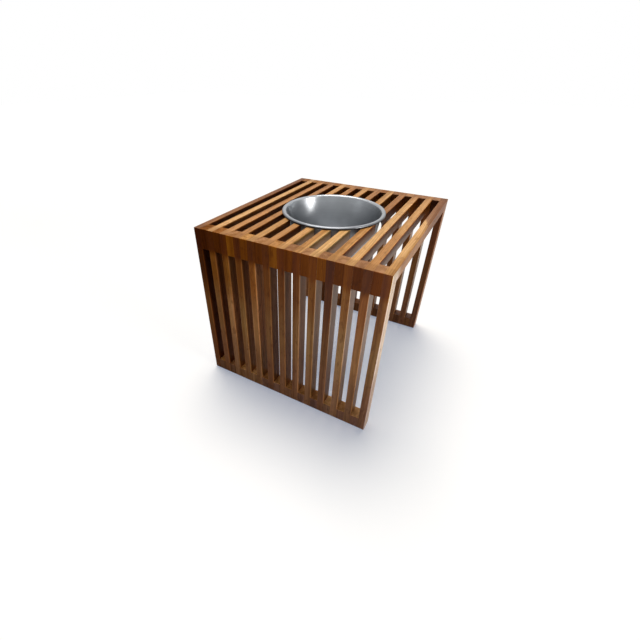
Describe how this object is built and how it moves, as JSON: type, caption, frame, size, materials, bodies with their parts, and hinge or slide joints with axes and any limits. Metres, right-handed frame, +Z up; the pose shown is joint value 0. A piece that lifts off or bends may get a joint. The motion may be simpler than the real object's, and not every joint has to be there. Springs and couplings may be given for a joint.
{
  "type": "ice bucket coffee table",
  "caption": "Slatted wooden waterfall coffee table with open ends and a round lift-out metal ice tub set into the middle of its top.",
  "frame": {"origin": "on the floor, under the middle of the table", "axes": "+Z up, +X across the slats towards one open end, +Y along the slats towards the far leg panel"},
  "size_m": [0.636, 0.708, 0.5953],
  "materials": {
    "walnut_brown": "oiled walnut, straight grain, dark heartwood",
    "walnut_tan": "oiled walnut, straight grain, middle tone",
    "walnut_honey": "oiled walnut, straight grain, light honey tone",
    "tub_steel": "spun and brushed, polished rolled rim"
  },
  "bodies": {
    "table": {"top_slat_01": "walnut_brown", "top_slat_02": "walnut_honey", "top_slat_03": "walnut_tan", "top_slat_04_near": "walnut_tan", "top_slat_04_far": "walnut_tan", "top_slat_05_near": "walnut_honey", "top_slat_05_far": "walnut_honey", "top_slat_06_near": "walnut_tan", "top_slat_06_far": "walnut_tan", "top_slat_07_near": "walnut_honey", "top_slat_07_far": "walnut_honey", "top_slat_08_near": "walnut_brown", "top_slat_08_far": "walnut_brown", "top_slat_09_near": "walnut_honey", "top_slat_09_far": "walnut_honey", "top_slat_10_near": "walnut_brown", "top_slat_10_far": "walnut_brown", "top_slat_11": "walnut_honey", "top_slat_12": "walnut_brown", "top_slat_13": "walnut_honey", "near_leg_slat_01": "walnut_brown", "near_leg_slat_02_and_blocks": "walnut_honey", "near_leg_slat_03": "walnut_tan", "near_leg_slat_04_and_blocks": "walnut_tan", "near_leg_slat_05": "walnut_honey", "near_leg_slat_06_and_blocks": "walnut_tan", "near_leg_slat_07": "walnut_honey", "near_leg_slat_08_and_blocks": "walnut_brown", "near_leg_slat_09": "walnut_honey", "near_leg_slat_10_and_blocks": "walnut_brown", "near_leg_slat_11": "walnut_honey", "near_leg_slat_12_and_blocks": "walnut_brown", "near_leg_slat_13": "walnut_honey", "far_leg_slat_01": "walnut_brown", "far_leg_slat_02_and_blocks": "walnut_honey", "far_leg_slat_03": "walnut_tan", "far_leg_slat_04_and_blocks": "walnut_tan", "far_leg_slat_05": "walnut_honey", "far_leg_slat_06_and_blocks": "walnut_tan", "far_leg_slat_07": "walnut_honey", "far_leg_slat_08_and_blocks": "walnut_brown", "far_leg_slat_09": "walnut_honey", "far_leg_slat_10_and_blocks": "walnut_brown", "far_leg_slat_11": "walnut_honey", "far_leg_slat_12_and_blocks": "walnut_brown", "far_leg_slat_13": "walnut_honey"},
    "tub": {"ice_tub": "tub_steel"}
  },
  "joints": [
    {"name": "tub_lift", "type": "slide", "parent": "table", "child": "tub", "axis": [0, 0, 1], "range_m": [0, 0.2]}
  ]
}
